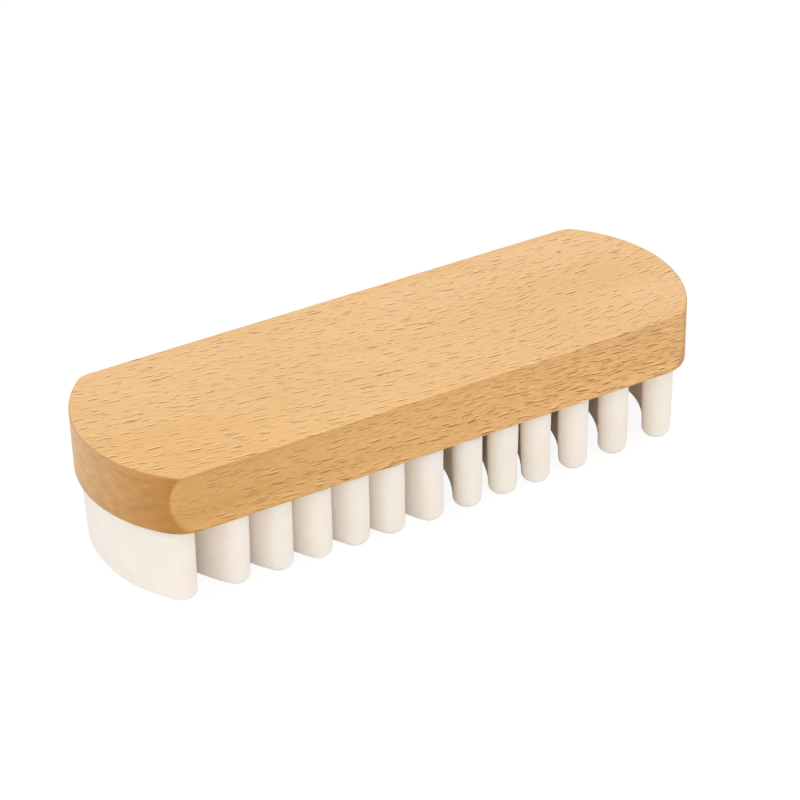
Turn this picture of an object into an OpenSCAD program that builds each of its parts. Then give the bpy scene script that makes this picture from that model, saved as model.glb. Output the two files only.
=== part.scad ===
// Suede brush: a beech block with curved crepe rubber fins let into its underside.
// Millimetres. +Z is up and +X runs along the block. The origin is on the ground under
// the middle of the block, and the brush stands on the tips of its fins.

/* [Block] */
// Length of the block over its bowed ends
block_l = 135; // [133:1:150]
// Width of the block's blank, before the finger grooves are cut
block_w = 46; // [45.5:0.5:50]
// Thickness of the block
block_t = 13; // [12.5:0.5:18]
// Radius of the bowed ends, seen from above
end_r = 30.5; // [30:0.5:36]
// Radius of the four corners at the top of the block, seen from above
top_corner_r = 5.5; // [4:0.5:8]
// Radius of the four corners at the bottom of the block, which are sanded rounder
low_corner_r = 10; // [8:0.5:12]
// Radius to which the upper edge is sanded
top_ease = 1.4; // [0.6:0.1:1.6]
// Radius to which the lower edge is sanded
low_ease = 0.5; // [0.4:0.1:1.2]
// Depth of the finger groove along each long side
groove_depth = 2.6; // [1.6:0.1:3]
// Radius of the finger groove, seen from the end of the block
groove_r = 10.5; // [9.5:0.5:14]
// How far the middle of the groove is above the middle of the block
groove_rise = 0.25; // [0:0.05:0.5]

/* [Fins] */
// How far a fin stands out of the block
fin_h = 17; // [12:0.5:22]
// Thickness of a fin
fin_t = 6.4; // [5.6:0.1:6.8]
// Radius of the rounding along the tip of a fin
fin_tip_r = 1.9; // [1.5:0.1:2.6]
// Radius of the outermost fins' curve, which follows the ends of the block
end_fin_r = 28; // [26:1:32]
// Radius of the flatter curve of the fins in the middle
mid_fin_r = 40; // [36:1:50]
// Distance from the left end of the block to the first fin
left_margin = 1.4; // [0.5:0.1:2]
// Distance from the right end of the block to the last fin
right_margin = 3; // [0.5:0.1:3.5]
// Steps from fin to fin, from the left end inwards
left_steps = [11.3, 9.4, 8.8, 8.6, 8.3, 9.1];
// Steps from fin to fin, from the right end inwards
right_steps = [11.8, 10.5, 9.7, 8.4, 8.9];
// Gap between the side of the block and the end of a fin in the middle
side_margin = 0.2; // [0:0.1:1]
// How much further from the side a fin at the very left end of the block would be
left_side_bow = 2.4; // [1.4:0.1:4]
// How much further from the side a fin at the very right end would be
right_side_bow = 1.6; // [1.4:0.1:4]

/* [Joint] */
// Thickness of the tongue on top of each fin
tongue_t = 4; // [3:0.1:4.5]
// Height of the tongue
tongue_h = 3.5; // [2.5:0.1:4]
// How far the tongue stops short of each end of the fin
tongue_setback = 4.2; // [3.5:0.1:6]
// Clearance on each side of the tongue in its slot
slot_clearance = 0.15; // [0.1:0.05:0.3]
// Thickness of the glue bed at the bottom of each slot
glue_t = 0.5; // [0.3:0.1:0.8]

/* [Hidden] */
$fn = 72;
overlap = 1;

left_count = len(left_steps) + 1;
right_count = len(right_steps) + 1;
fin_count = left_count + right_count;

block_z = fin_h;
slot_depth = tongue_h + glue_t;

// Arcs in the outline of the block, and rings in its eased edges
arc_steps = 12;
ease_steps = 4;
slice_h = 0.01;

function sum_to(steps, n) = n == 0 ? 0 : steps[n - 1] + sum_to(steps, n - 1);

// A fin is told by its number from the left, which counts from 1
function in_left_group(n) = n <= left_count;
function steps_from_end(n) = in_left_group(n) ? n - 1 : fin_count - n;
function bulge_side(n) = in_left_group(n) ? -1 : 1;
function fin_x(n) = in_left_group(n)
    ? -block_l / 2 + left_margin + fin_t / 2 + sum_to(left_steps, steps_from_end(n))
    : block_l / 2 - right_margin - fin_t / 2 - sum_to(right_steps, steps_from_end(n));
function share_inwards(n) =
    steps_from_end(n) / ((in_left_group(n) ? left_count : right_count) - 1);
function fin_r(n) = end_fin_r + (mid_fin_r - end_fin_r) * share_inwards(n);
function side_bow(n) = in_left_group(n) ? left_side_bow : right_side_bow;
function fin_reach(n) =
    block_w / 2 - side_margin - side_bow(n) * pow(fin_x(n) / (block_l / 2), 2);

function two_digits(n) = n < 10 ? str("0", n) : str(n);
function fin_name(n) = str("crepe_fin_", two_digits(n));
function glue_name(n) = str("glue_bed_", two_digits(n));

function arc(centre, radius, from, to) = [
    for (i = [0:arc_steps])
        let (angle = from + (to - from) * i / arc_steps)
            centre + radius * [cos(angle), sin(angle)]
];

// Outline of the block, drawn in by inset: two bowed ends joined by four corner arcs
function block_outline(corner_r, inset) = let (
    end_x = block_l / 2 - end_r,
    corner_y = block_w / 2 - corner_r,
    corner_x = end_x + sqrt(pow(end_r - corner_r, 2) - pow(corner_y, 2)),
    end_angle = atan2(corner_y, corner_x - end_x)
) concat(
    arc([end_x, 0], end_r - inset, -end_angle, end_angle),
    arc([corner_x, corner_y], corner_r - inset, end_angle, 90),
    arc([-corner_x, corner_y], corner_r - inset, 90, 180 - end_angle),
    arc([-end_x, 0], end_r - inset, 180 - end_angle, 180 + end_angle),
    arc([-corner_x, -corner_y], corner_r - inset, 180 + end_angle, 270),
    arc([corner_x, -corner_y], corner_r - inset, 270, 360 - end_angle)
);

module block_slice(corner_r, inset, z) {
    translate([0, 0, z])
        linear_extrude(slice_h)
            polygon(block_outline(corner_r, inset));
}

module eased_blank() {
    hull()
        for (i = [0:ease_steps]) {
            inset = 1 - sin(90 * i / ease_steps);
            rise = 1 - cos(90 * i / ease_steps);
            block_slice(low_corner_r, low_ease * inset, low_ease * rise);
            block_slice(top_corner_r, top_ease * inset, block_t - slice_h - top_ease * rise);
        }
}

module finger_groove() {
    translate([0, block_w / 2 - groove_depth + groove_r, block_t / 2 + groove_rise])
        rotate([0, 90, 0])
            cylinder(h = block_l, r = groove_r, center = true, $fn = 144);
}

// A bar along an arc that bulges towards +X, with round ends. Its child is half of its section.
module curved_bar(radius, half_span) {
    half_angle = asin(half_span / radius);
    translate([-radius, 0, 0]) {
        rotate([0, 0, -half_angle])
            rotate_extrude(angle = 2 * half_angle)
                translate([radius, 0]) {
                    children();
                    mirror([1, 0])
                        children();
                }
        for (side = [-1, 1])
            rotate([0, 0, side * half_angle])
                translate([radius, 0, 0])
                    rotate_extrude()
                        children();
    }
}

module place_fin(n) {
    translate([fin_x(n), 0, 0])
        rotate([0, 0, bulge_side(n) > 0 ? 0 : 180])
            children();
}

// The bar that the tongue, its slot and its glue bed share
module tongue_bar(n, t, h) {
    curved_bar(fin_r(n), fin_reach(n) - tongue_setback - tongue_t / 2)
        square([t / 2, h]);
}

module fin_half_section() {
    core = fin_t / 2 - fin_tip_r;
    square([core, fin_h]);
    translate([core, fin_tip_r])
        square([fin_tip_r, fin_h - fin_tip_r]);
    translate([core, fin_tip_r])
        intersection() {
            circle(fin_tip_r);
            translate([0, -fin_tip_r])
                square(fin_tip_r);
        }
}

module beech_block() {
    color("burlywood")
        difference() {
            translate([0, 0, block_z])
                difference() {
                    eased_blank();
                    finger_groove();
                    mirror([0, 1, 0])
                        finger_groove();
                }
            for (n = [1:fin_count])
                place_fin(n)
                    translate([0, 0, block_z - overlap])
                        tongue_bar(n, tongue_t + 2 * slot_clearance, slot_depth + overlap);
        }
}

module crepe_fin(n) {
    color("antiquewhite")
        place_fin(n) {
            curved_bar(fin_r(n), fin_reach(n) - fin_t / 2)
                fin_half_section();
            translate([0, 0, fin_h - overlap])
                tongue_bar(n, tongue_t, tongue_h + overlap);
        }
}

module glue_bed(n) {
    color("khaki")
        place_fin(n)
            translate([0, 0, block_z + tongue_h])
                tongue_bar(n, tongue_t, glue_t);
}

beech_block();
for (n = [1:fin_count]) {
    crepe_fin(n);
    glue_bed(n);
}
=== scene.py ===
"""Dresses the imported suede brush: a beech block that stands on curved crepe rubber fins."""

import logging
import math
from collections.abc import Iterable
from dataclasses import dataclass, field
from enum import Enum
from functools import reduce
from typing import Any

import bmesh
import bpy
from mathutils import Matrix, Vector, noise
from mathutils.geometry import tessellate_polygon


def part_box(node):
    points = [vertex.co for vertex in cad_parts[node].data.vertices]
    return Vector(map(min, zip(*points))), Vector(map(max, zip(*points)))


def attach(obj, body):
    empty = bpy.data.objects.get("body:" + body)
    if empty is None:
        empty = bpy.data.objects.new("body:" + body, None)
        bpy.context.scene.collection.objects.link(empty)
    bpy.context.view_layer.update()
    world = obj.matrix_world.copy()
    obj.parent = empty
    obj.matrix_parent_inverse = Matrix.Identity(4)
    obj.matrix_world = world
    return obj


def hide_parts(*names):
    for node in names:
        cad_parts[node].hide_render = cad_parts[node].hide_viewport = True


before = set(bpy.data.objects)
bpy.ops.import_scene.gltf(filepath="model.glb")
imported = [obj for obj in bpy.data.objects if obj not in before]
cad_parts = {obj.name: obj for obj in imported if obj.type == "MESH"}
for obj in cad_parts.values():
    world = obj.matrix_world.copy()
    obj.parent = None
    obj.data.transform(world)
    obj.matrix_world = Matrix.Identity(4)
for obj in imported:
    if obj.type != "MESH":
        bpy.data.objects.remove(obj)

LOG = logging.getLogger("suede_brush")
BODY = "root"
MM = 0.001
PER_MM = 1 / MM
WHITE = (1.0, 1.0, 1.0)

Colour = tuple[float, float, float]
Lengths = tuple[float, float, float]
Socket = bpy.types.NodeSocket


class Bulge(Enum):
    """The end of the brush that a fin bulges towards."""

    LEFT = -1
    RIGHT = 1


class Cut(Enum):
    """How a face of the block lies to the grain, which sets how its ray flecks look."""

    FACE = "face"
    EDGE = "edge"
    END = "end"


@dataclass(frozen=True)
class Fade:
    """A change from low to high between two places, or between two values of anything else."""

    start: float
    end: float
    low: float = 0.0
    high: float = 1.0
    smooth: bool = False


def linear(red: int, green: int, blue: int) -> Colour:
    """Turns a colour as a screen shows it into the linear colour that a shader takes.

    Args:
        red: Red, from 0 to 255.
        green: Green, from 0 to 255.
        blue: Blue, from 0 to 255.

    Returns:
        The linear colour.
    """
    return tuple(
        c / 12.92 if c <= 0.04045 else ((c + 0.055) / 1.055) ** 2.4
        for c in (red / 255, green / 255, blue / 255)
    )


class Wiring:
    """Adds nodes to a shader or geometry tree and joins them up."""

    def __init__(self, tree: bpy.types.NodeTree) -> None:
        """Takes the tree that the nodes go into."""
        self.tree = tree

    def add(self, kind: str, inputs: dict[Any, Any] | None = None,
            **settings: Any) -> bpy.types.Node:
        """Adds one node.

        Args:
            kind: The node's type.
            inputs: A value or a socket for each input, by name or number.
            **settings: The node's own properties.

        Returns:
            The new node.
        """
        node = self.tree.nodes.new(kind)
        for name, value in settings.items():
            setattr(node, name, value)
        self.feed(node, inputs or {})
        return node

    def feed(self, node: bpy.types.Node, inputs: dict[Any, Any]) -> None:
        """Links a socket into each named input of a node, or sets the input to a value.

        Args:
            node: The node that is fed.
            inputs: A value or a socket for each input, by name or number.
        """
        for key, value in inputs.items():
            socket = node.inputs[key]
            if isinstance(value, bpy.types.NodeSocket):
                self.tree.links.new(value, socket)
            elif socket.type == "RGBA" and len(value) == 3:
                socket.default_value = (*value, 1.0)
            else:
                socket.default_value = value

    def math(self, operation: str, a: Any, b: Any = 0.0, clamp: bool = False) -> Socket:
        """Returns the result of one sum on two numbers."""
        node = self.add("ShaderNodeMath", {0: a, 1: b}, operation=operation, use_clamp=clamp)
        return node.outputs[0]

    def vector_math(self, operation: str, a: Any, b: Any = (0.0, 0.0, 0.0)) -> Socket:
        """Returns the vector that one sum on two vectors gives."""
        node = self.add("ShaderNodeVectorMath", {0: a, 1: b}, operation=operation)
        return node.outputs["Vector"]

    def scaled(self, vector: Any, factor: Any) -> Socket:
        """Returns a vector times a number."""
        node = self.add("ShaderNodeVectorMath", {0: vector, "Scale": factor}, operation="SCALE")
        return node.outputs["Vector"]

    def parts(self, vector: Socket) -> tuple[Socket, Socket, Socket]:
        """Returns a vector's x, y and z."""
        node = self.add("ShaderNodeSeparateXYZ", {0: vector})
        return node.outputs[0], node.outputs[1], node.outputs[2]

    def joined(self, x: Any, y: Any, z: Any = 0.0) -> Socket:
        """Returns the vector of three numbers."""
        return self.add("ShaderNodeCombineXYZ", {0: x, 1: y, 2: z}).outputs[0]

    def ramp(self, value: Any, start: float, end: float, low: float = 0.0, high: float = 1.0,
             smooth: bool = False) -> Socket:
        """Returns low before start, high after end, and what lies between on the way.

        Args:
            value: The number that is ramped.
            start: Where the ramp begins.
            end: Where the ramp ends.
            low: The result at the start.
            high: The result at the end.
            smooth: Whether the ramp eases in and out.

        Returns:
            The ramped number.
        """
        node = self.add(
            "ShaderNodeMapRange",
            {"Value": value, "From Min": start, "From Max": end, "To Min": low, "To Max": high},
            clamp=True,
            interpolation_type="SMOOTHSTEP" if smooth else "LINEAR",
        )
        return node.outputs[0]

    def fade(self, value: Any, fade: Fade) -> Socket:
        """Returns the ramp that a fade describes."""
        return self.ramp(value, fade.start, fade.end, fade.low, fade.high, fade.smooth)

    def swing(self, share: Socket, width: Any) -> Socket:
        """Returns a share from 0 to 1 as a number that swings as far below 0 as above it."""
        return self.math("MULTIPLY", self.math("SUBTRACT", share, 0.5), width)

    def most(self, values: Iterable[Socket]) -> Socket:
        """Returns the greatest of several numbers."""
        return reduce(lambda a, b: self.math("MAXIMUM", a, b), values)

    def between(self, share: Any, a: Any, b: Any) -> Socket:
        """Returns number a with that share of number b in it."""
        node = self.add("ShaderNodeMix", {0: share, 2: a, 3: b}, data_type="FLOAT")
        return node.outputs[0]

    def blend(self, share: Any, a: Any, b: Any, mode: str = "MIX") -> Socket:
        """Lays one colour over another.

        Args:
            share: How much of colour b there is.
            a: The colour below.
            b: The colour that is laid over it.
            mode: Whether b is mixed with a or multiplies it.

        Returns:
            The blended colour.
        """
        node = self.add("ShaderNodeMix", data_type="RGBA", blend_type=mode)
        self.feed(node, {0: share, 6: a, 7: b})
        return node.outputs[2]

    def noise(self, place: Socket, lumps: Lengths, detail: float = 2.0,
              roughness: float = 0.5) -> Socket:
        """Returns smooth noise, from 0 to 1.

        Args:
            place: Where the noise is read.
            lumps: The size of its lumps along x, y and z.
            detail: How many finer layers it has.
            roughness: How strong the finer layers are.

        Returns:
            The noise.
        """
        vector = self.vector_math("MULTIPLY", place, tuple(1 / size for size in lumps))
        node = self.add("ShaderNodeTexNoise", {"Vector": vector, "Scale": 1.0, "Detail": detail,
                                               "Roughness": roughness})
        return node.outputs[0]

    def seen(self, path: bpy.types.bpy_prop_collection) -> Socket:
        """Returns 1 where the camera, a gloss or a glass looks, from a Light Path's outputs."""
        kinds = ("Is Camera Ray", "Is Glossy Ray", "Is Transmission Ray")
        return self.most(path[kind] for kind in kinds)


def fresh_wiring(owner: bpy.types.Material | bpy.types.World) -> Wiring:
    """Empties the node tree of a material or world.

    Args:
        owner: The material or world.

    Returns:
        The wiring of its tree.
    """
    owner.use_nodes = True
    owner.node_tree.nodes.clear()
    return Wiring(owner.node_tree)


def new_material(name: str) -> tuple[bpy.types.Material, Wiring, bpy.types.Node]:
    """Starts a material.

    Args:
        name: The material's name.

    Returns:
        The material, its wiring and its surface shader.
    """
    material = bpy.data.materials.new(name)
    w = fresh_wiring(material)
    shader = w.add("ShaderNodeBsdfPrincipled")
    w.add("ShaderNodeOutputMaterial", {"Surface": shader.outputs[0]})
    return material, w, shader


@dataclass(frozen=True)
class RayFlecks:
    """One size of the short dark dashes that beech shows where its rays come to the surface.

    Each cell of the pattern holds at most one fleck. The pitch is the size of a cell, and the
    shift moves the pattern, so that no two sizes share their cells. Lengths are millimetres.
    """

    pitch: tuple[float, float]
    half_length: float
    half_height: float
    darkness: float
    shift: float


@dataclass(frozen=True)
class BoardPoint:
    """What the wood's nodes know of a point on the block, with its lengths in millimetres."""

    place: Socket
    x: Socket
    y: Socket
    z: Socket
    along: Socket
    across: Socket
    through: Socket
    normal_y: Socket
    on_face: Socket
    on_end: Socket


@dataclass(frozen=True)
class BeechFinish:
    """Sanded and oiled beech: pale tan, with ray flecks along the grain and darker end grain.

    Its places and lengths are millimetres in the block's own coordinates, apart from relief_depth.
    The edge is the long side of the block, which is cut through the grain's layers.
    """

    name: str = "oiled_beech"

    # The colours of the face, the edge and the end grain, and tints that they are multiplied by
    pale: Colour = linear(246, 200, 144)
    tan: Colour = linear(240, 190, 129)
    edge_pale: Colour = linear(220, 172, 113)
    edge_tan: Colour = linear(210, 161, 97)
    # The end grain's colours where it turns away and where it turns to the front: its own darker
    # colour with painted light and painted shade on it
    end_lit_back: Colour = linear(222, 181, 136)
    end_shaded_front: Colour = linear(181, 126, 57)
    warmth: Colour = (0.98, 0.94, 0.82)
    # The tint of the painted shade along the long sides' lower and upper margins
    painted_shade_tint: Colour = (0.93, 0.91, 0.82)
    fibre_tint: Colour = (0.75, 1.0, 1.4)
    fleck_tint: Colour = (0.58, 0.4, 0.18)
    # A painted highlight: the pale rim along one side of each fleck
    rim_highlight: Colour = linear(255, 232, 188)

    # How upright, or how far along the block, the normal points where the face or the end begins
    face_turn: Fade = Fade(0.3, 0.97, smooth=True)
    end_turn: Fade = Fade(0.08, 0.4, smooth=True)

    # How the grain runs: its slopes, the bow round the place bow_x, and its wander
    grain_slope: float = 0.09
    grain_bow: float = 0.125
    bow_x: float = 24.0
    bow_length: float = 16.0
    edge_slope: float = 0.05
    wander: float = 1.8
    wander_lumps: Lengths = (14.0, 14.0, 14.0)
    fray: float = 0.14
    fray_lumps: Lengths = (0.9, 0.9, 0.9)

    # The sizes of the patterns in the wood, and where each colour gives way to the next
    streaks: Lengths = (45.0, 12.0, 12.0)
    fibres: Lengths = (2.8, 0.42, 0.42)
    blotches: Lengths = (3.2, 3.2, 1.6)
    streak_share: Fade = Fade(0.3, 0.7)
    near_share: Fade = Fade(2, -30)
    near_slant: float = 0.25
    edge_share: Fade = Fade(-60, -5, smooth=True)
    # Painted shade on the long sides: darker and browner low down, most to the left, and in a band
    # under the top edge that fades out towards the right
    low_painted_shade: tuple[Fade, Fade] = (Fade(24, 18.5, smooth=True), Fade(-40, 20, 1.5, 0.4))
    high_painted_shade: tuple[Fade, Fade] = (Fade(27.5, 29, smooth=True), Fade(0, 40, 0.8, 0.0))
    # Painted light and shade on the end grain: lighter as its normal turns away from the front,
    # and lighter again at the right end
    end_lit_turn: Fade = Fade(-0.7, 0.5)
    end_lit_right: Fade = Fade(50, 60, 0.0, 0.45)
    end_mottle: Fade = Fade(0.3, 0.7, 0.87, 1.13)
    end_foot: Fade = Fade(17.5, 24, 0.93, 1.0)

    # How strong the flecks and fibres of the edge are along it, and what they are multiplied by
    lively_right: Fade = Fade(-10, 30, 0.68, 1.2)
    lively_left: Fade = Fade(-62, -35, 0.45, 1.0)
    fibre_contrast: float = 0.12
    edge_contrast: float = 0.2
    face_rim: float = 0.7
    edge_rim: float = 0.22

    # How the flecks differ by luck, how soft they are, and how high their rims, which are painted
    # highlights, lie above them
    fleck_lengths: tuple[float, float] = (0.45, 1.35)
    fleck_heights: tuple[float, float] = (0.7, 1.25)
    fleck_luck: tuple[float, float] = (0.1, 0.85)
    lens_edge: Fade = Fade(0.45, 1.05, 1.0, 0.0, smooth=True)
    rim_lift: float = 1.6
    flecks: dict[Cut, tuple[RayFlecks, ...]] = field(default_factory=lambda: {
        Cut.FACE: (
            RayFlecks((5.6, 1.8), 1.6, 0.2, 1.05, 0.0),
            RayFlecks((4.6, 1.4), 1.3, 0.17, 0.95, 37.0),
            RayFlecks((3.4, 1.05), 1.0, 0.14, 0.65, 71.0),
        ),
        Cut.EDGE: (
            RayFlecks((5.8, 1.4), 1.9, 0.145, 1.6, 11.0),
            RayFlecks((4.5, 0.95), 1.4, 0.125, 1.35, 53.0),
            RayFlecks((3.1, 0.65), 0.95, 0.1, 0.95, 91.0),
        ),
        Cut.END: (
            RayFlecks((5.5, 2.4), 0.9, 0.24, 0.45, 23.0),
        ),
    })

    # How the wood shines, and how high its fibres stand
    gloss: float = 0.3
    roughness: Fade = Fade(0.2, 1.2, 0.5, 0.66)
    fleck_roughness: float = 0.5
    fibre_relief: float = 0.35
    relief: float = 0.05
    relief_depth: float = 0.08 * MM

    def find_point(self, w: Wiring) -> BoardPoint:
        """Finds where a point is on the block and in its grain, and which way it faces.

        Args:
            w: The wiring of the material.

        Returns:
            The point, read from nothing but the object's own coordinates and normal.
        """
        source = w.add("ShaderNodeTexCoord").outputs
        place = w.scaled(source["Object"], PER_MM)
        x, y, z = w.parts(place)
        normal_x, normal_y, normal_z = w.parts(source["Normal"])
        on_face = w.fade(w.math("ABSOLUTE", normal_z), self.face_turn)
        on_end = w.fade(w.math("ABSOLUTE", normal_x), self.end_turn)
        along, across, through = self.follow_grain(w, place)
        return BoardPoint(place, x, y, z, along, across, through, normal_y, on_face, on_end)

    def follow_grain(self, w: Wiring, place: Socket) -> tuple[Socket, Socket, Socket]:
        """Bends the block's own coordinates so that they follow the grain.

        Args:
            w: The wiring of the material.
            place: The point in the block.

        Returns:
            The distances along the grain, across it, and through the board.
        """
        x, y, z = w.parts(place)
        wander = w.swing(w.noise(place, self.wander_lumps, detail=1.0), self.wander)
        fray = w.swing(w.noise(place, self.fray_lumps, detail=1.0), self.fray)
        wander = w.math("ADD", wander, fray)
        beside = w.joined(w.math("SUBTRACT", x, self.bow_x), self.bow_length)
        bow = w.add("ShaderNodeVectorMath", {0: beside}, operation="LENGTH").outputs["Value"]
        across = w.math("ADD", y, w.math("MULTIPLY", x, self.grain_slope))
        across = w.math("SUBTRACT", across, w.math("MULTIPLY", bow, self.grain_bow))
        through = w.math("ADD", z, w.math("MULTIPLY", x, self.edge_slope))
        return x, w.math("ADD", across, wander), w.math("ADD", through, wander)

    def lens(self, w: Wiring, run: Socket, rise: Socket) -> Socket:
        """Returns 1 inside a long thin lens and 0 outside it, with a soft edge."""
        squares = w.math("ADD", w.math("MULTIPLY", run, run), w.math("MULTIPLY", rise, rise))
        return w.fade(squares, self.lens_edge)

    def fleck_layer(self, w: Wiring, along: Socket, across: Socket,
                    rays: RayFlecks) -> tuple[Socket, Socket]:
        """Draws one size of ray fleck, at most one in each cell of a scattered pattern.

        Args:
            w: The wiring of the material.
            along: The distance along the grain.
            across: The distance across it.
            rays: The size and spread of the flecks.

        Returns:
            How much of the fleck, and of the pale rim beside it, a painted highlight, is at each
            point.
        """
        pitch_x, pitch_y = rays.pitch
        cell_x = w.math("MULTIPLY", w.math("ADD", along, rays.shift), 1 / pitch_x)
        cell_y = w.math("MULTIPLY", w.math("ADD", across, rays.shift), 1 / pitch_y)
        place = w.joined(cell_x, cell_y)
        cells = w.add("ShaderNodeTexVoronoi", {"Vector": place, "Scale": 1.0},
                      voronoi_dimensions="2D", feature="F1").outputs
        offset_x, offset_y, _ = w.parts(w.vector_math("SUBTRACT", place, cells["Position"]))
        luck_a, luck_b, luck_c = w.parts(cells["Color"])
        length = w.ramp(luck_a, 0, 1, *(rays.half_length * share for share in self.fleck_lengths))
        height = w.ramp(luck_b, 0, 1, *(rays.half_height * share for share in self.fleck_heights))
        strength = w.ramp(luck_c, *self.fleck_luck, 0.0, rays.darkness)
        run = w.math("DIVIDE", w.math("MULTIPLY", offset_x, pitch_x), length)
        rise = w.math("MULTIPLY", offset_y, pitch_y)
        rim_rise = w.math("SUBTRACT", rise, rays.half_height * self.rim_lift)
        fleck = self.lens(w, run, w.math("DIVIDE", rise, height))
        rim = self.lens(w, run, w.math("DIVIDE", rim_rise, height))
        return w.math("MULTIPLY", fleck, strength), w.math("MULTIPLY", rim, strength)

    def flecks_at(self, w: Wiring, point: BoardPoint) -> tuple[Socket, Socket]:
        """Lays the flecks of every size over each other, as the block is cut at that point.

        Args:
            w: The wiring of the material.
            point: The point on the block.

        Returns:
            How much of the flecks, and of their pale rims, which are painted highlights, is at the
            point.
        """
        lines = {
            Cut.FACE: (point.along, point.across),
            Cut.EDGE: (point.along, point.through),
            Cut.END: (point.y, point.through),
        }
        layers = {}
        for cut, sizes in self.flecks.items():
            pairs = [self.fleck_layer(w, *lines[cut], rays) for rays in sizes]
            layers[cut] = [w.most(kind) for kind in zip(*pairs)]
        fleck, rim = (
            w.between(point.on_end, w.between(point.on_face, edge, face), end)
            for face, edge, end in zip(layers[Cut.FACE], layers[Cut.EDGE], layers[Cut.END])
        )
        return fleck, rim

    def face_colour(self, w: Wiring, point: BoardPoint, grain: Socket) -> Socket:
        """Colours the top and the underside in pale streaks that turn warmer towards the front.

        Args:
            w: The wiring of the material.
            point: The point on the block.
            grain: The point in the grain.

        Returns:
            The colour without flecks.
        """
        tone = w.fade(w.noise(grain, self.streaks), self.streak_share)
        near = w.math("ADD", point.y, w.math("MULTIPLY", point.x, self.near_slant))
        colour = w.blend(tone, self.pale, self.tan)
        return w.blend(w.fade(near, self.near_share), colour, self.warmth, "MULTIPLY")

    def edge_colour(self, w: Wiring, point: BoardPoint) -> Socket:
        """Colours the long sides, with painted shade that makes them darker and browner along
        their lower and upper margins.

        Args:
            w: The wiring of the material.
            point: The point on the block.

        Returns:
            The colour without flecks.
        """
        colour = w.blend(w.fade(point.x, self.edge_share), self.edge_tan, self.edge_pale)
        # Painted shade: the lower margin and the band under the top edge are multiplied by a
        # darker, browner tint
        for by_height, by_length in (self.low_painted_shade, self.high_painted_shade):
            share = w.math("MULTIPLY", w.fade(point.z, by_height), w.fade(point.x, by_length))
            colour = w.blend(share, colour, self.painted_shade_tint, "MULTIPLY")
        return colour

    def end_colour(self, w: Wiring, point: BoardPoint, blotch: Socket) -> Socket:
        """Colours the end grain, which is mottled, with painted shade where it turns to the front,
        darkest at the front left corner, and painted light where it turns away.

        Args:
            w: The wiring of the material.
            point: The point on the block.
            blotch: The mottling, from 0 to 1.

        Returns:
            The colour without flecks.
        """
        # Painted shade and light: the end grain is darker where it faces the front and lighter
        # where it faces away
        lit_turn = w.fade(point.normal_y, self.end_lit_turn)
        right_lit = w.fade(point.x, self.end_lit_right)
        lit_share = w.math("ADD", lit_turn, right_lit, clamp=True)
        grey = w.math("MULTIPLY", w.fade(blotch, self.end_mottle), w.fade(point.z, self.end_foot))
        colour = w.blend(lit_share, self.end_shaded_front, self.end_lit_back)
        return w.blend(1.0, colour, w.joined(grey, grey, grey), "MULTIPLY")

    def fibre_shade(self, w: Wiring, fibre: Socket, coarse: Socket) -> Socket:
        """Makes the fibres lighter and darker than the wood, most where it is coarse.

        Args:
            w: The wiring of the material.
            fibre: The pattern of the fibres, from 0 to 1.
            coarse: How coarse the wood is.

        Returns:
            The colour that the wood is multiplied by.
        """
        extra = w.math("MULTIPLY", w.math("MULTIPLY", coarse, coarse), self.edge_contrast)
        contrast = w.math("ADD", self.fibre_contrast, extra)
        swing = w.swing(fibre, w.math("MULTIPLY", contrast, 2.0))
        return w.vector_math("ADD", w.scaled(self.fibre_tint, swing), WHITE)

    def material(self) -> bpy.types.Material:
        """Builds the wood.

        Returns:
            The material.
        """
        material, w, shader = new_material(self.name)
        point = self.find_point(w)
        fleck, rim = self.flecks_at(w, point)
        grain = w.joined(point.along, point.across, point.through)
        fibre = w.noise(grain, self.fibres)
        blotch = w.noise(point.place, self.blotches, detail=3.0)
        side = w.math("SUBTRACT", 1.0, point.on_face)
        calm = w.math("SUBTRACT", 1.0, point.on_end)
        lively = w.math("MULTIPLY", w.fade(point.x, self.lively_right),
                        w.fade(point.x, self.lively_left))

        face_colour = self.face_colour(w, point, grain)
        colour = w.blend(point.on_face, self.edge_colour(w, point), face_colour)
        shade = self.fibre_shade(w, fibre, w.math("MULTIPLY", lively, side))
        colour = w.blend(1.0, colour, shade, "MULTIPLY")
        colour = w.blend(point.on_end, colour, self.end_colour(w, point, blotch))
        # Painted highlight: a pale rim along one side of each fleck, none on the end grain
        rim_share = w.between(side, self.face_rim, w.math("MULTIPLY", lively, self.edge_rim))
        rim = w.math("MULTIPLY", rim, w.math("MULTIPLY", calm, rim_share))
        colour = w.blend(rim, colour, self.rim_highlight)
        fleck = w.math("MULTIPLY", fleck, w.between(side, 1.0, lively))
        colour = w.blend(fleck, colour, self.fleck_tint, "MULTIPLY")

        rough = w.math("ADD", w.math("MULTIPLY", fleck, self.fleck_roughness), blotch)
        ridges = w.math("MULTIPLY", w.math("MULTIPLY", fibre, calm), self.fibre_relief)
        bump = w.add("ShaderNodeBump", {"Strength": self.relief, "Distance": self.relief_depth,
                                        "Height": w.math("SUBTRACT", ridges, fleck)})
        w.feed(shader, {
            "Base Color": colour,
            "Roughness": w.fade(rough, self.roughness),
            "Normal": bump.outputs[0],
            "Specular IOR Level": self.gloss,
        })
        return material


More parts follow.
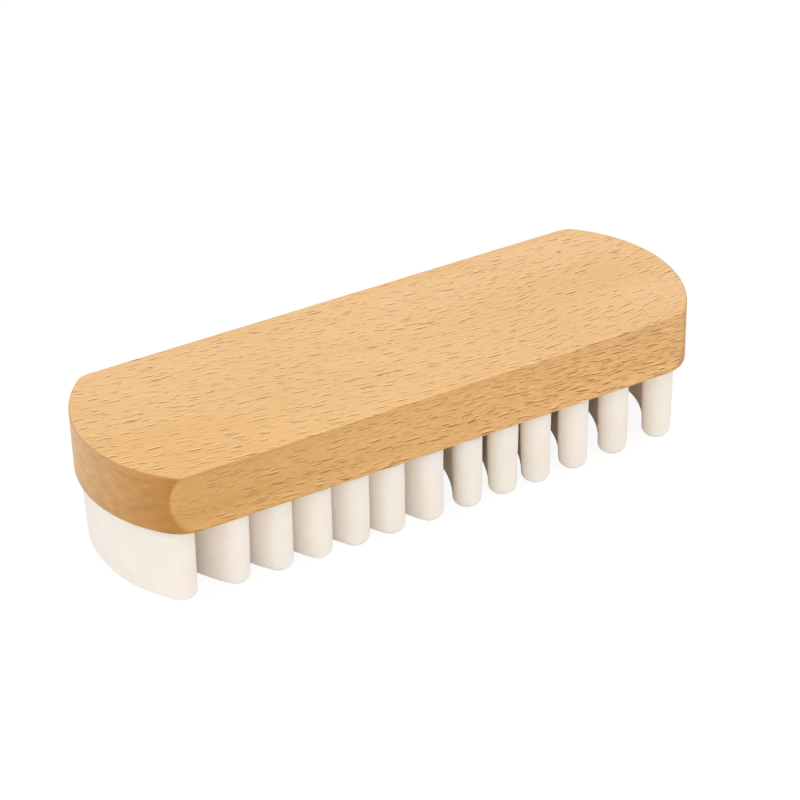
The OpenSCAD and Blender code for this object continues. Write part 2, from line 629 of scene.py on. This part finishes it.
@dataclass(frozen=True)
class CrepeFinish:
    """Natural crepe rubber: cream, matt and a little see-through, with a faint crinkle.

    The sizes of its patterns are millimetres, and its depths are metres.
    """

    name: str = "cream_crepe_rubber"
    cream: Colour = linear(238, 231, 222)
    shade: Colour = linear(235, 226, 214)
    clouds: Lengths = (5.0, 5.0, 5.0)
    cloud_share: Fade = Fade(0.35, 0.75)
    crinkles: Lengths = (0.7, 0.7, 2.0)
    crinkle_detail: float = 4.0
    crinkle_roughness: float = 0.6
    crinkle_share: Fade = Fade(0.55, 0.8, 0.0, 0.35)
    crinkle_relief: float = 0.5
    crinkle_depth: float = 0.03 * MM
    roughness: Fade = Fade(0.3, 0.7, 0.6, 0.72)
    gloss: float = 0.3
    see_through: float = 0.8
    glow: Colour = (1.0, 0.88, 0.75)
    glow_depth: float = 5 * MM

    def material(self) -> bpy.types.Material:
        """Builds the rubber.

        Returns:
            The material, which reads only the object's own coordinates.
        """
        material, w, shader = new_material(self.name)
        place = w.scaled(w.add("ShaderNodeTexCoord").outputs["Object"], PER_MM)
        cloud = w.noise(place, self.clouds)
        crinkle = w.noise(place, self.crinkles, self.crinkle_detail, self.crinkle_roughness)
        colour = w.blend(w.fade(cloud, self.cloud_share), self.cream, self.shade)
        colour = w.blend(w.fade(crinkle, self.crinkle_share), colour, self.shade)
        bump = w.add("ShaderNodeBump", {"Strength": self.crinkle_relief,
                                        "Distance": self.crinkle_depth, "Height": crinkle})
        w.feed(shader, {
            "Base Color": colour,
            "Roughness": w.fade(crinkle, self.roughness),
            "Normal": bump.outputs[0],
            "Specular IOR Level": self.gloss,
            "Subsurface Weight": self.see_through,
            "Subsurface Radius": self.glow,
            "Subsurface Scale": self.glow_depth,
        })
        return material


@dataclass(frozen=True)
class GlueFinish:
    """Contact glue that has dried amber in the slots, with small bubbles.

    The sizes of its patterns are millimetres, and its depth is metres.
    """

    name: str = "dried_contact_glue"
    amber: Colour = linear(206, 168, 104)
    thin: Colour = linear(228, 200, 146)
    film_lumps: Lengths = (2.5, 2.5, 2.5)
    film_share: Fade = Fade(0.35, 0.7)
    roughness: Fade = Fade(0.3, 0.7, 0.3, 0.45)
    bubbles_per_mm: float = 1.4
    bubble_edge: Fade = Fade(0.05, 0.3, 1.0, 0.0, smooth=True)
    bubble_relief: float = 0.6
    bubble_depth: float = 0.1 * MM

    def material(self) -> bpy.types.Material:
        """Builds the glue.

        Returns:
            The material, which reads only the object's own coordinates.
        """
        material, w, shader = new_material(self.name)
        place = w.scaled(w.add("ShaderNodeTexCoord").outputs["Object"], PER_MM)
        film = w.noise(place, self.film_lumps, detail=3.0)
        bubbles = w.add("ShaderNodeTexVoronoi", {"Vector": place, "Scale": self.bubbles_per_mm})
        rise = w.fade(bubbles.outputs["Distance"], self.bubble_edge)
        bump = w.add("ShaderNodeBump", {"Strength": self.bubble_relief,
                                        "Distance": self.bubble_depth, "Height": rise})
        w.feed(shader, {
            "Base Color": w.blend(w.fade(film, self.film_share), self.amber, self.thin),
            "Roughness": w.fade(film, self.roughness),
            "Normal": bump.outputs[0],
        })
        return material


def mesh_piece(name: str, points: list[Vector], faces: list[list[int]],
               material: bpy.types.Material) -> bpy.types.Object:
    """Makes an object at the origin from points and faces, with its faces turned outwards.

    Args:
        name: The piece's name.
        points: Its points, in metres.
        faces: The numbers of each face's points.
        material: Its finish.

    Returns:
        The object, linked into the scene.
    """
    mesh = bpy.data.meshes.new(name)
    mesh.from_pydata([tuple(p) for p in points], [], faces)
    shape = bmesh.new()
    shape.from_mesh(mesh)
    bmesh.ops.recalc_face_normals(shape, faces=shape.faces)
    shape.to_mesh(mesh)
    shape.free()
    mesh.materials.append(material)
    piece = bpy.data.objects.new(name, mesh)
    bpy.context.scene.collection.objects.link(piece)
    return piece


@dataclass
class FinPlace:
    """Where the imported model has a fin, and how far it curves, in metres."""

    node: str
    thickness: float
    bulge: Bulge = field(init=False)
    apex_x: float = field(init=False)
    half_span: float = field(init=False)
    radius: float = field(init=False)
    top_z: float = field(init=False)

    def __post_init__(self) -> None:
        """Reads the fin's box: its sagitta and half span give the radius of its centreline."""
        low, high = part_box(self.node)
        self.half_span = high.y - self.thickness / 2
        sagitta = high.x - low.x - self.thickness
        self.radius = (self.half_span ** 2 + sagitta ** 2) / (2 * sagitta)
        self.top_z = high.z
        leans_left = self.middle_is_at(low.x)
        self.bulge = Bulge.LEFT if leans_left else Bulge.RIGHT
        self.apex_x = (low.x if leans_left else high.x) - self.bulge.value * self.thickness / 2

    def middle_is_at(self, low_x: float) -> bool:
        """Tells whether the fin's middle, and not its ends, reaches the lowest x."""
        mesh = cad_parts[self.node].data
        return abs(min(mesh.vertices, key=lambda v: v.co.x - low_x).co.y) < self.half_span / 2

    def point(self, angle: float, reach: float, z: float, turn: float = 0.0) -> Vector:
        """Returns a point beside the centreline.

        Args:
            angle: Where along the centreline, from its apex, seen from its centre.
            reach: The distance from the centreline.
            z: The height.
            turn: The direction from the centreline, from 0, outwards, to pi, inwards.

        Returns:
            The point.
        """
        x = self.radius * (math.cos(angle) - 1) + reach * math.cos(angle + turn)
        y = self.radius * math.sin(angle) + reach * math.sin(angle + turn)
        side = self.bulge.value
        return Vector((self.apex_x + side * x, side * y, z))


@dataclass
class Skin:
    """The points and faces of a mesh while it is being made."""

    points: list[Vector] = field(default_factory=list)
    faces: list[list[int]] = field(default_factory=list)

    def loop(self, ring: list[Vector]) -> list[int]:
        """Adds a ring of points and returns their numbers."""
        self.points.extend(ring)
        return list(range(len(self.points) - len(ring), len(self.points)))

    def wall(self, below: list[int], above: list[int]) -> None:
        """Joins two rings with faces."""
        for i, j in zip(range(len(below)), [*range(1, len(below)), 0]):
            self.faces.append([below[i], below[j], above[j], above[i]])

    def plate(self, rim: list[int], holes: list[list[int]]) -> None:
        """Fills a ring with triangles, apart from the holes in it.

        Args:
            rim: The numbers of the ring's points.
            holes: The numbers of each hole's points.
        """
        rings = [rim, *holes]
        numbers = [i for ring in rings for i in ring]
        corners = tessellate_polygon([[self.points[i] for i in ring] for ring in rings])
        self.faces.extend([numbers[a], numbers[b], numbers[c]] for a, b, c in corners)


@dataclass
class BeechBlock:
    """The block: bowed ends, rounded corners, eased edges, two finger grooves and curved slots."""

    fins: list[FinPlace]
    tongue_thickness: float
    tongue_setback: float
    node: str = "beech_block"
    slot: str = "beech"
    blank_half_width: float = 23 * MM
    end_radius: float = 30.5 * MM
    top_corner_radius: float = 5.5 * MM
    low_corner_radius: float = 10 * MM
    top_side_ease: float = 1.4 * MM
    low_side_ease: float = 0.5 * MM
    end_ease: float = 0.35 * MM
    ease_blend: int = 4
    groove_depth: float = 2.6 * MM
    groove_radius: float = 10.5 * MM
    groove_rise: float = 0.25 * MM
    groove_softness: float = 1.1 * MM
    hand_wander: float = 0.12 * MM
    hand_wave: float = 16 * MM
    hand_seed: float = 3.7
    # How far inside the eased edge the flat face has its last ring, as a share of the edge
    rim_width: float = 0.4
    slot_clearance: float = 0.15 * MM
    crease: float = math.radians(40)
    finish: BeechFinish = field(default_factory=BeechFinish)
    end_steps: int = 56
    corner_steps: int = 56
    side_steps: int = 70
    ease_steps: int = 8
    wall_steps: int = 44
    slot_steps: int = 48
    half_length: float = field(init=False)
    low_z: float = field(init=False)
    high_z: float = field(init=False)
    glue_room: float = field(init=False)

    def __post_init__(self) -> None:
        """Takes the block's size, and the height of the glue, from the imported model."""
        low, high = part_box(self.node)
        self.half_length = high.x
        self.low_z = low.z
        self.high_z = high.z
        glue_low, glue_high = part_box("glue_bed_01")
        self.glue_room = glue_high.z - glue_low.z

    def spokes(self, corner_radius: float) -> list[tuple[Vector, float, float]]:
        """Lists the outline as spokes, each a centre, a radius and an angle.

        Args:
            corner_radius: The radius of the four corners at this height.

        Returns:
            The spokes, anticlockwise from the middle of the right end.
        """
        end_x = self.half_length - self.end_radius
        corner_y = self.blank_half_width - corner_radius
        corner_x = end_x + math.sqrt((self.end_radius - corner_radius) ** 2 - corner_y ** 2)
        turn = math.atan2(corner_y, corner_x - end_x)
        quarter = [(Vector((end_x, 0)), self.end_radius, turn * i / self.end_steps)
                   for i in range(self.end_steps)]
        quarter += [
            (Vector((corner_x, corner_y)), corner_radius,
             turn + (math.pi / 2 - turn) * i / self.corner_steps)
            for i in range(self.corner_steps + 1)
        ]
        quarter += [
            (Vector((corner_x * (1 - i / self.side_steps), corner_y)), corner_radius, math.pi / 2)
            for i in range(1, self.side_steps)
        ]
        half = quarter + [(Vector((0, corner_y)), corner_radius, math.pi / 2)]
        half += [(Vector((-c.x, c.y)), r, math.pi - a) for c, r, a in reversed(quarter)]
        return half[:-1] + [(Vector((-c.x, -c.y)), r, a + math.pi) for c, r, a in half[:-1]]

    def groove_y(self, x: float, z: float) -> float:
        """Finds how far from the middle of the block the wood of the groove begins.

        Args:
            x: The place along the block.
            z: The height.

        Returns:
            The distance, which wanders a little along the block, as handwork does.
        """
        wander = noise.noise(Vector((x / self.hand_wave, self.hand_seed, 0))) * self.hand_wander
        rise = z - (self.low_z + self.high_z) / 2 - self.groove_rise - wander
        hollow = self.groove_radius - math.sqrt(self.groove_radius ** 2 - rise ** 2)
        return self.blank_half_width - self.groove_depth - abs(wander) + hollow

    def soft_least(self, a: float, b: float) -> float:
        """Returns the lesser of two distances, rounded off where they cross."""
        near = max(self.groove_softness - abs(a - b), 0) / self.groove_softness
        return min(a, b) - near * near * self.groove_softness / 4

    def eases(self, angle: float) -> tuple[float, float]:
        """Finds how far the edges are eased, which is less on the ends than on the sides.

        Args:
            angle: The direction that the outline faces.

        Returns:
            The radii of the lower and the upper edge.
        """
        sideways = abs(math.sin(angle)) ** self.ease_blend
        low, top = (self.end_ease + (side - self.end_ease) * sideways
                    for side in (self.low_side_ease, self.top_side_ease))
        return low, top

    def ring(self, level: float, inset: float, rise: float, from_top: bool) -> list[Vector]:
        """Returns one ring of points round the block.

        Args:
            level: The share of the wall's height between the eased edges, from 0 to 1.
            inset: The share of the edge's radius by which the ring is drawn in.
            rise: The share of the edge's radius by which the ring is above or below the face.
            from_top: Whether the ring is in the upper eased edge.

        Returns:
            The points, in the same order in every ring.
        """
        height = self.high_z - self.low_z
        on_wall = 0 < level < 1
        share = level
        if not on_wall and from_top:
            share = 1 - rise * self.top_side_ease / height
        elif not on_wall:
            share = rise * self.low_side_ease / height
        corner_growth = self.top_corner_radius - self.low_corner_radius
        corner_radius = self.low_corner_radius + share * corner_growth
        points = []
        for centre, radius, angle in self.spokes(corner_radius):
            low_ease, top_ease = self.eases(angle)
            ease = top_ease if from_top else low_ease
            reach = radius - inset * ease
            x = centre.x + reach * math.cos(angle)
            y = centre.y + reach * math.sin(angle)
            if on_wall:
                z = self.low_z + low_ease + level * (height - low_ease - top_ease)
            elif from_top:
                z = self.high_z - rise * ease
            else:
                z = self.low_z + rise * ease
            cut_y = self.soft_least(abs(y), self.groove_y(x, z))
            points.append(Vector((x, math.copysign(cut_y, y), z)))
        return points

    def rings(self) -> list[list[Vector]]:
        """Lists the rings that the outside of the block is made of.

        Returns:
            Every ring, from the underside to the top.
        """
        turns = [math.pi / 2 * i / self.ease_steps for i in range(self.ease_steps + 1)]
        low = [self.ring(0, 1 - math.sin(t), 1 - math.cos(t), False) for t in turns]
        wall = [self.ring(i / self.wall_steps, 0, 1, False) for i in range(1, self.wall_steps)]
        high = [self.ring(1, 1 - math.sin(t), 1 - math.cos(t), True) for t in reversed(turns)]
        inner = 1 + self.rim_width
        return [self.ring(0, inner, 0, False), *low, *wall, *high, self.ring(1, inner, 0, True)]

    def slot_outline(self, fin: FinPlace) -> list[Vector]:
        """Draws the slot that takes a fin's tongue, in the underside of the block.

        Args:
            fin: The fin.

        Returns:
            The points of the outline.
        """
        tongue_growth = (fin.thickness - self.tongue_thickness) / 2
        half_span = fin.half_span + tongue_growth - self.tongue_setback
        limit = math.asin(half_span / fin.radius)
        reach = self.tongue_thickness / 2 + self.slot_clearance
        steps, cap = self.slot_steps, self.slot_steps // 4
        places = [(limit * (2 * i / steps - 1), 0.0) for i in range(steps)]
        places += [(limit, math.pi * i / cap) for i in range(cap)]
        places += [(limit * (1 - 2 * i / steps), math.pi) for i in range(steps)]
        places += [(-limit, math.pi * (1 + i / cap)) for i in range(cap)]
        return [fin.point(angle, reach, self.low_z, turn) for angle, turn in places]

    def build(self) -> bpy.types.Object:
        """Makes the block as one closed mesh.

        Returns:
            The finished piece.
        """
        skin = Skin()
        loops = [skin.loop(ring) for ring in self.rings()]
        for below, above in zip(loops, loops[1:]):
            skin.wall(below, above)
        skin.faces.append(loops[-1])
        mouths = [skin.loop(self.slot_outline(fin)) for fin in self.fins]
        for mouth, fin in zip(mouths, self.fins):
            outline = [skin.points[i] for i in mouth]
            ceiling = skin.loop([Vector((p.x, p.y, fin.top_z + self.glue_room)) for p in outline])
            skin.wall(mouth, ceiling)
            skin.faces.append(ceiling)
        skin.plate(loops[0], mouths)
        piece = mesh_piece("beech_block_dressed", skin.points, skin.faces, self.finish.material())
        piece.data.shade_smooth()
        piece.data.set_sharp_from_angle(angle=self.crease)
        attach(piece, BODY)
        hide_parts(self.node)
        return piece


@dataclass
class FinTree:
    """The geometry nodes that make one fin from a grid.

    The columns of the grid run once round the fin's plan outline. Its rows run up the fin's
    section: from the middle of the tip, round the tip, up the wall, in over the shoulder, up the
    tongue, and over the top of the tongue to its middle.
    """

    side_steps: int = 64
    cap_steps: int = 16
    tip_steps: int = 10
    wall_steps: int = 16
    tongue_steps: int = 2
    fixed_rows: int = 2
    lump_size: float = 9 * MM
    crease: float = math.radians(50)
    weld: float = 0.0005 * MM
    sizes: tuple[str, ...] = (
        "Apex X", "Side", "Radius", "Half span", "Tongue half span", "Thickness", "Height",
        "Tip radius", "Taper", "Tongue thickness", "Tongue height", "Unevenness", "Chance",
    )
    cap_end: int = field(init=False)
    back_end: int = field(init=False)
    around: int = field(init=False)
    tip_end: int = field(init=False)
    wall_end: int = field(init=False)
    shoulder: int = field(init=False)
    tongue_top: int = field(init=False)
    levels: int = field(init=False)

    def __post_init__(self) -> None:
        """Numbers the columns and rows at which the outline and the section change."""
        self.cap_end = self.side_steps + self.cap_steps
        self.back_end = self.cap_end + self.side_steps
        self.around = self.back_end + self.cap_steps
        self.tip_end = 1 + self.tip_steps
        self.wall_end = self.tip_end + self.wall_steps
        self.shoulder = self.wall_end + 1
        self.tongue_top = self.shoulder + self.tongue_steps
        self.levels = self.tongue_top + 1

    def build(self) -> tuple[bpy.types.NodeTree, dict[str, str]]:
        """Builds the tree.

        Returns:
            The tree, and the identifier of each named input.
        """
        tree = bpy.data.node_groups.new("crepe_fin", "GeometryNodeTree")
        tree.interface.new_socket("Geometry", in_out="OUTPUT", socket_type="NodeSocketGeometry")
        kinds = {name: "NodeSocketFloat" for name in self.sizes} | {"Finish": "NodeSocketMaterial"}
        identifiers = {
            name: tree.interface.new_socket(name, in_out="INPUT", socket_type=kind).identifier
            for name, kind in kinds.items()
        }
        w = Wiring(tree)
        given = dict(w.add("NodeGroupInput").outputs.items())
        grid = w.add("GeometryNodeMeshGrid", {
            "Size X": float(self.around), "Size Y": float(self.levels),
            "Vertices X": self.around + 1, "Vertices Y": self.levels + 1,
        })
        grid_x, grid_y, _ = w.parts(w.add("GeometryNodeInputPosition").outputs[0])
        step = w.math("ADD", grid_x, self.around / 2)
        level = w.math("ADD", grid_y, self.levels / 2)
        place = self.place(w, given, step, level)
        moved = w.add("GeometryNodeSetPosition", {
            "Geometry": grid.outputs["Mesh"], "Position": place,
            "Offset": self.unevenness(w, given, place, level),
        })
        self.finish(w, given, moved.outputs[0])
        return tree, identifiers

    def section(self, w: Wiring, given: dict[str, Socket], level: Socket) -> tuple[Socket, Socket]:
        """Draws the fin's section.

        Args:
            w: The wiring of the tree.
            given: The tree's inputs.
            level: The row of the grid.

        Returns:
            The row's distance from the centreline, and its height.
        """
        half = w.math("MULTIPLY", given["Thickness"], 0.5)
        tongue_half = w.math("MULTIPLY", given["Tongue thickness"], 0.5)
        core = w.math("SUBTRACT", half, given["Tip radius"])
        taper = w.ramp(level, self.tip_end, self.wall_end, 1.0, 0.0)
        thinned = w.math("MULTIPLY", given["Taper"], taper)
        tip_turn = w.ramp(level, 1, self.tip_end, 0.0, math.pi / 2)
        bulge = w.math("MULTIPLY", given["Tip radius"], w.math("SINE", tip_turn))
        reach = w.math("MULTIPLY", core, w.ramp(level, 0, 1))
        reach = w.math("ADD", reach, bulge)
        reach = w.math("SUBTRACT", reach, w.math("MULTIPLY", thinned, w.ramp(level, 0, 1)))
        drawn_in = w.math("MULTIPLY", w.math("SUBTRACT", half, tongue_half),
                          w.ramp(level, self.wall_end, self.shoulder))
        closed = w.math("MULTIPLY", tongue_half, w.ramp(level, self.tongue_top, self.levels))
        reach = w.math("SUBTRACT", w.math("SUBTRACT", reach, drawn_in), closed)

        tip_rise = w.math("MULTIPLY", given["Tip radius"],
                          w.math("SUBTRACT", 1.0, w.math("COSINE", tip_turn)))
        wall_rise = w.math("MULTIPLY", w.math("SUBTRACT", given["Height"], given["Tip radius"]),
                           w.ramp(level, self.tip_end, self.wall_end))
        tongue_rise = w.math("MULTIPLY", given["Tongue height"],
                             w.ramp(level, self.shoulder, self.tongue_top))
        return reach, w.math("ADD", w.math("ADD", tip_rise, wall_rise), tongue_rise)

    def outline(self, w: Wiring, given: dict[str, Socket], step: Socket,
                level: Socket) -> tuple[Socket, Socket]:
        """Follows the plan outline: out along one side, round an end, back, and round the other.

        Args:
            w: The wiring of the tree.
            given: The tree's inputs.
            step: The column of the grid.
            level: The row of the grid.

        Returns:
            The angle along the centreline, and the direction from there to the outline.
        """
        span = w.between(w.ramp(level, self.wall_end, self.shoulder), given["Half span"],
                         given["Tongue half span"])
        limit = w.math("ARCSINE", w.math("DIVIDE", span, given["Radius"]))
        out = w.ramp(step, 0, self.side_steps, -1.0, 1.0)
        back = w.ramp(step, self.cap_end, self.back_end, 0.0, 2.0)
        angle = w.math("MULTIPLY", limit, w.math("SUBTRACT", out, back))
        turn = w.math("ADD", w.ramp(step, self.side_steps, self.cap_end, 0.0, math.pi),
                      w.ramp(step, self.back_end, self.around, 0.0, math.pi))
        return angle, w.math("ADD", angle, turn)

    def place(self, w: Wiring, given: dict[str, Socket], step: Socket, level: Socket) -> Socket:
        """Finds where a point of the grid goes.

        Args:
            w: The wiring of the tree.
            given: The tree's inputs.
            step: The column of the grid.
            level: The row of the grid.

        Returns:
            The place of the point.
        """
        reach, rise = self.section(w, given, level)
        angle, heading = self.outline(w, given, step, level)
        x = w.math("MULTIPLY", given["Radius"], w.math("SUBTRACT", w.math("COSINE", angle), 1.0))
        x = w.math("ADD", x, w.math("MULTIPLY", reach, w.math("COSINE", heading)))
        y = w.math("MULTIPLY", given["Radius"], w.math("SINE", angle))
        y = w.math("ADD", y, w.math("MULTIPLY", reach, w.math("SINE", heading)))
        x = w.math("ADD", given["Apex X"], w.math("MULTIPLY", x, given["Side"]))
        return w.joined(x, w.math("MULTIPLY", y, given["Side"]), rise)

    def unevenness(self, w: Wiring, given: dict[str, Socket], place: Socket,
                   level: Socket) -> Socket:
        """Pushes the walls slightly out of true, as cut rubber is, but not at the block.

        Args:
            w: The wiring of the tree.
            given: The tree's inputs.
            place: The place of the point.
            level: The row of the grid.

        Returns:
            How far the point is pushed.
        """
        chance = w.joined(given["Chance"], 0.0, given["Chance"])
        vector = w.vector_math("ADD", w.scaled(place, 1 / self.lump_size), chance)
        lumps = w.add("ShaderNodeTexNoise", {"Vector": vector, "Scale": 1.0, "Detail": 1.0})
        middle = (0.5, 0.5, 0.5)
        push_x, push_y, _ = w.parts(w.vector_math("SUBTRACT", lumps.outputs["Color"], middle))
        fixed_from = self.wall_end - self.fixed_rows
        free = w.math("MULTIPLY", w.ramp(level, fixed_from, self.wall_end, 1.0, 0.0),
                      w.math("MULTIPLY", given["Unevenness"], 2.0))
        return w.joined(w.math("MULTIPLY", push_x, free), w.math("MULTIPLY", push_y, free))

    def finish(self, w: Wiring, given: dict[str, Socket], mesh: Socket) -> None:
        """Closes the seams of the mesh, shades it and gives it its finish.

        Args:
            w: The wiring of the tree.
            given: The tree's inputs.
            mesh: The grid, bent to the fin's shape.
        """
        merged = w.add("GeometryNodeMergeByDistance", {"Geometry": mesh, "Distance": self.weld})
        smooth = w.add("GeometryNodeSetShadeSmooth",
                       {"Geometry": merged.outputs[0], "Shade Smooth": True})
        turned = w.add("GeometryNodeInputMeshEdgeAngle").outputs["Unsigned Angle"]
        creased = w.add("GeometryNodeSetShadeSmooth", {
            "Geometry": smooth.outputs[0], "Shade Smooth": False,
            "Selection": w.math("GREATER_THAN", turned, self.crease),
        }, domain="EDGE")
        real = w.add("GeometryNodeRealizeInstances", {"Geometry": creased.outputs[0]})
        dressed = w.add("GeometryNodeSetMaterial",
                        {"Geometry": real.outputs[0], "Material": given["Finish"]})
        w.add("NodeGroupOutput", {0: dressed.outputs[0]})


@dataclass
class CrepeFins:
    """The row of fins: one tree of geometry nodes, run once for each fin with its own sizes."""

    slot: str = "crepe_rubber"
    count: int = 13
    thickness: float = 6.4 * MM
    tip_radius: float = 1.9 * MM
    taper: float = 0.2 * MM
    tongue_thickness: float = 4 * MM
    tongue_setback: float = 4.2 * MM
    unevenness: float = 0.14 * MM
    chance_step: float = 10.0
    finish: CrepeFinish = field(default_factory=CrepeFinish)
    places: list[FinPlace] = field(init=False)
    root_z: float = field(init=False)

    def __post_init__(self) -> None:
        """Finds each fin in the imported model."""
        nodes = [f"crepe_fin_{n:02d}" for n in range(1, self.count + 1)]
        self.places = [FinPlace(node, self.thickness) for node in nodes]
        self.root_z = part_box("beech_block")[0].z

    def build(self) -> list[bpy.types.Object]:
        """Makes the fins, each a piece of its own that stands for its node.

        Returns:
            The finished pieces, from left to right.
        """
        tree, identifiers = FinTree().build()
        material = self.finish.material()
        tongue_growth = (self.thickness - self.tongue_thickness) / 2
        pieces = []
        for place in self.places:
            sizes = {
                "Apex X": place.apex_x,
                "Side": float(place.bulge.value),
                "Radius": place.radius,
                "Half span": place.half_span,
                "Tongue half span": place.half_span + tongue_growth - self.tongue_setback,
                "Thickness": self.thickness,
                "Height": self.root_z,
                "Tip radius": self.tip_radius,
                "Taper": self.taper,
                "Tongue thickness": self.tongue_thickness,
                "Tongue height": place.top_z - self.root_z,
                "Unevenness": self.unevenness,
                "Chance": self.chance_step * len(pieces),
                "Finish": material,
            }
            inputs = {identifiers[name]: value for name, value in sizes.items()}
            pieces.append(self.cast(place, tree, inputs))
        return pieces

    def cast(self, place: FinPlace, tree: bpy.types.NodeTree,
             inputs: dict[str, Any]) -> bpy.types.Object:
        """Runs the tree once and keeps the result as a plain mesh.

        Args:
            place: The fin that is made.
            tree: The tree of nodes.
            inputs: The value of each input, by its identifier.

        Returns:
            The finished piece.
        """
        name = f"{place.node}_dressed"
        piece = bpy.data.objects.new(name, bpy.data.meshes.new(name))
        bpy.context.scene.collection.objects.link(piece)
        maker = piece.modifiers.new("fin", "NODES")
        maker.node_group = tree
        for identifier, value in inputs.items():
            maker[identifier] = value
        view = bpy.context.evaluated_depsgraph_get()
        result = bpy.data.meshes.new_from_object(piece.evaluated_get(view))
        piece.modifiers.clear()
        piece.data = result
        result.name = name
        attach(piece, BODY)
        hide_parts(place.node)
        return piece


@dataclass
class GlueBeds:
    """The beds of glue above the tongues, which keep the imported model's shape."""

    count: int = 13
    finish: GlueFinish = field(default_factory=GlueFinish)

    def dress(self) -> list[bpy.types.Object]:
        """Gives each bed its finish.

        Returns:
            The beds, from left to right.
        """
        material = self.finish.material()
        beds = [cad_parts[f"glue_bed_{n:02d}"] for n in range(1, self.count + 1)]
        for bed in beds:
            bed.data.materials.clear()
            bed.data.materials.append(material)
        return beds


@dataclass(frozen=True)
class Lamp:
    """A square soft lamp that points at the brush."""

    name: str
    place: Lengths
    size: float
    power: float

    def hang(self) -> None:
        """Puts the lamp into the scene."""
        light = bpy.data.lights.new(self.name, "AREA")
        light.size = self.size
        light.energy = self.power
        holder = bpy.data.objects.new(self.name, light)
        bpy.context.scene.collection.objects.link(holder)
        place = Vector(self.place)
        aim = place.to_track_quat("Z", "Y").to_matrix().to_4x4()
        holder.matrix_world = Matrix.Translation(place) @ aim


@dataclass
class Studio:
    """A white floor, a pale sky, three soft lamps in front and at the sides, and the camera."""

    aim: Vector = field(default_factory=lambda: Vector((2.8, 0, 15.69)) * MM)
    azimuth: float = math.radians(-29.59)
    elevation: float = math.radians(31.92)
    roll: float = math.radians(-1.38)
    distance: float = 541.7 * MM
    lens: float = 118.4
    sensor: float = 36.0
    nearest: float = 10 * MM
    floor_size: float = 6.0
    floor_drop: float = 0.02 * MM
    # How white the floor is to the brush, how much of that takes a shadow in the picture, and
    # how bright the picture shows the floor
    floor_white: float = 0.97
    floor_shadow: float = 0.1
    floor_seen: float = 1.02
    sky_light: float = 0.88
    bounces: int = 10
    lamps: tuple[Lamp, ...] = (
        Lamp("right", (0.6, -0.8, 0.5), 0.8, 0.9),
        Lamp("left", (-1.0, 0.05, 0.35), 0.8, 1.75),
        Lamp("front", (-0.35, -0.95, 0.2), 0.6, 1.3),
    )

    def build(self) -> None:
        """Sets up the whole studio."""
        bpy.context.scene.view_settings.view_transform = "Standard"
        bpy.context.scene.cycles.diffuse_bounces = self.bounces
        self.sky()
        self.floor()
        for lamp in self.lamps:
            lamp.hang()
        self.camera()

    def sky(self) -> None:
        """Makes the world pale, and white where the camera or a gloss looks at it."""
        world = bpy.data.worlds.new("studio")
        bpy.context.scene.world = world
        w = fresh_wiring(world)
        seen = w.seen(w.add("ShaderNodeLightPath").outputs)
        strength = w.between(seen, self.sky_light, 1.0)
        sky = w.add("ShaderNodeBackground", {"Color": WHITE, "Strength": strength})
        w.add("ShaderNodeOutputWorld", {"Surface": sky.outputs[0]})

    def floor(self) -> None:
        """Lays a white floor that keeps a faint shadow, and hides from a camera below it."""
        material = bpy.data.materials.new("white_floor")
        w = fresh_wiring(material)
        path = w.add("ShaderNodeLightPath").outputs
        seen = w.seen(path)
        grey = w.between(seen, self.floor_white, self.floor_shadow)
        matt = w.add("ShaderNodeBsdfDiffuse", {"Color": w.joined(grey, grey, grey)})
        lift = w.math("MULTIPLY", seen, self.floor_seen - self.floor_shadow)
        glow = w.add("ShaderNodeEmission", {"Color": WHITE, "Strength": lift})
        both = w.add("ShaderNodeAddShader", {0: matt.outputs[0], 1: glow.outputs[0]})
        below = w.add("ShaderNodeNewGeometry").outputs["Backfacing"]
        hidden = w.math("MULTIPLY", below, path["Is Camera Ray"])
        clear = w.add("ShaderNodeBsdfTransparent")
        shown = w.add("ShaderNodeMixShader", {0: hidden, 1: both.outputs[0], 2: clear.outputs[0]})
        w.add("ShaderNodeOutputMaterial", {"Surface": shown.outputs[0]})

        half = self.floor_size / 2
        corners = [Vector((x * half, y * half, -self.floor_drop))
                   for x, y in ((-1, -1), (1, -1), (1, 1), (-1, 1))]
        mesh_piece("floor", corners, [[0, 1, 2, 3]], material)

    def camera(self) -> None:
        """Places the camera at the viewing angle of the photograph."""
        back = Vector((math.sin(self.azimuth) * math.cos(self.elevation),
                       -math.cos(self.azimuth) * math.cos(self.elevation),
                       math.sin(self.elevation)))
        right = (-back).cross(Vector((0, 0, 1))).normalized()
        up = back.cross(right)
        turn = Matrix((right, up, back)).transposed() @ Matrix.Rotation(self.roll, 3, "Z")
        view = bpy.data.cameras.new("view")
        view.lens = self.lens
        view.sensor_width = self.sensor
        view.clip_start = self.nearest
        holder = bpy.data.objects.new("view", view)
        bpy.context.scene.collection.objects.link(holder)
        holder.matrix_world = Matrix.Translation(self.aim + back * self.distance) @ turn.to_4x4()
        bpy.context.scene.camera = holder


def main() -> None:
    """Builds the brush and its studio."""
    logging.basicConfig(level=logging.INFO, format="%(name)s: %(message)s")
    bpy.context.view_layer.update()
    fins = CrepeFins()
    block = BeechBlock(fins=fins.places, tongue_thickness=fins.tongue_thickness,
                       tongue_setback=fins.tongue_setback)
    pieces = [block.build(), *fins.build(), *GlueBeds().dress()]
    for piece in pieces:
        LOG.info("%s: %d faces", piece.name, len(piece.data.polygons))
    Studio().build()


if __name__ == "__main__":
    main()
